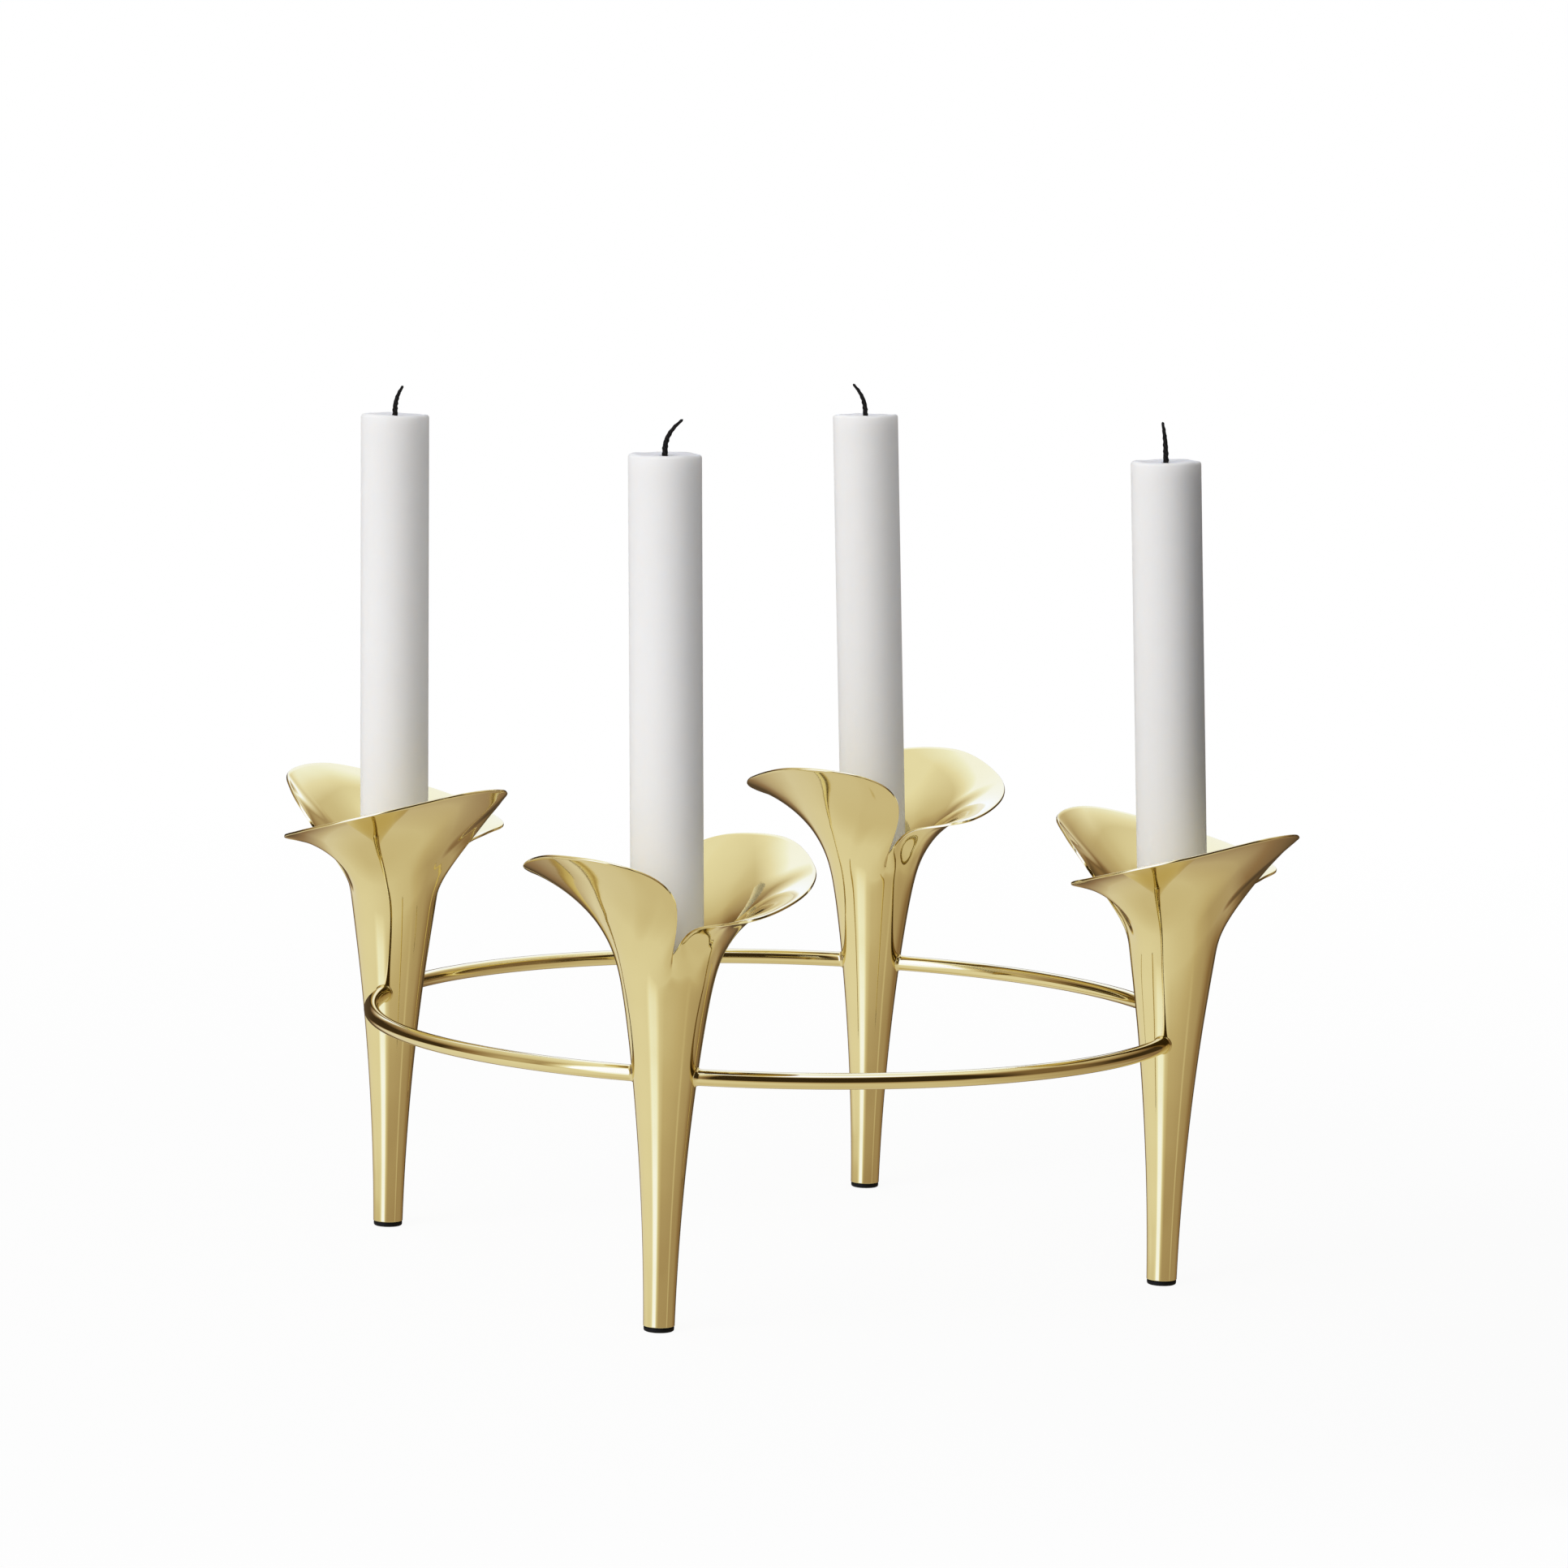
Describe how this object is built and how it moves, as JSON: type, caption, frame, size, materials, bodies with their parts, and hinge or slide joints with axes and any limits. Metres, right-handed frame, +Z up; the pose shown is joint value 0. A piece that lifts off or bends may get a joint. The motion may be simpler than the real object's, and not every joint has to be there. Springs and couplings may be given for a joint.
{
  "type": "taper candle holder",
  "caption": "Candle holder with polished flower-shaped cups on slender round legs, joined by a ring of round rod, with white candles.",
  "frame": {"origin": "the ring's centre, straight down on the table plane under the feet; the bounding box's middle lies within 1 mm of it", "axes": "+Z up along the legs; -Y towards the front leg, +X towards the right leg, as the picture shows them"},
  "size_m": [0.3391, 0.3429, 0.2756],
  "materials": {
    "polished_brass": "mirror polished, pale gold",
    "black_rubber": "matte",
    "white_wax": "smooth satin candle wax",
    "charred_cotton": "charred braid"
  },
  "bodies": {
    "holder": {"flower_front": "polished_brass", "candle_cup_front": "polished_brass", "foot_pad_front": "black_rubber", "flower_right": "polished_brass", "candle_cup_right": "polished_brass", "foot_pad_right": "black_rubber", "flower_back": "polished_brass", "candle_cup_back": "polished_brass", "foot_pad_back": "black_rubber", "flower_left": "polished_brass", "candle_cup_left": "polished_brass", "foot_pad_left": "black_rubber", "ring_arc_front_right": "polished_brass", "ring_arc_right_back": "polished_brass", "ring_arc_back_left": "polished_brass", "ring_arc_left_front": "polished_brass"},
    "front_candle": {"candle_front": "white_wax", "wick_front": "charred_cotton"},
    "right_candle": {"candle_right": "white_wax", "wick_right": "charred_cotton"},
    "back_candle": {"candle_back": "white_wax", "wick_back": "charred_cotton"},
    "left_candle": {"candle_left": "white_wax", "wick_left": "charred_cotton"}
  },
  "joints": [
    {"name": "front_candle_lift", "type": "slide", "parent": "holder", "child": "front_candle", "axis": [-0.0297, 0, 0.9996], "range_m": [0, 0.06]},
    {"name": "right_candle_lift", "type": "slide", "parent": "holder", "child": "right_candle", "axis": [-0.0489, 0, 0.9988], "range_m": [0, 0.06]},
    {"name": "back_candle_lift", "type": "slide", "parent": "holder", "child": "back_candle", "axis": [-0.0471, 0, 0.9989], "range_m": [0, 0.06]},
    {"name": "left_candle_lift", "type": "slide", "parent": "holder", "child": "left_candle", "axis": [-0.0175, 0, 0.9998], "range_m": [0, 0.06]}
  ]
}
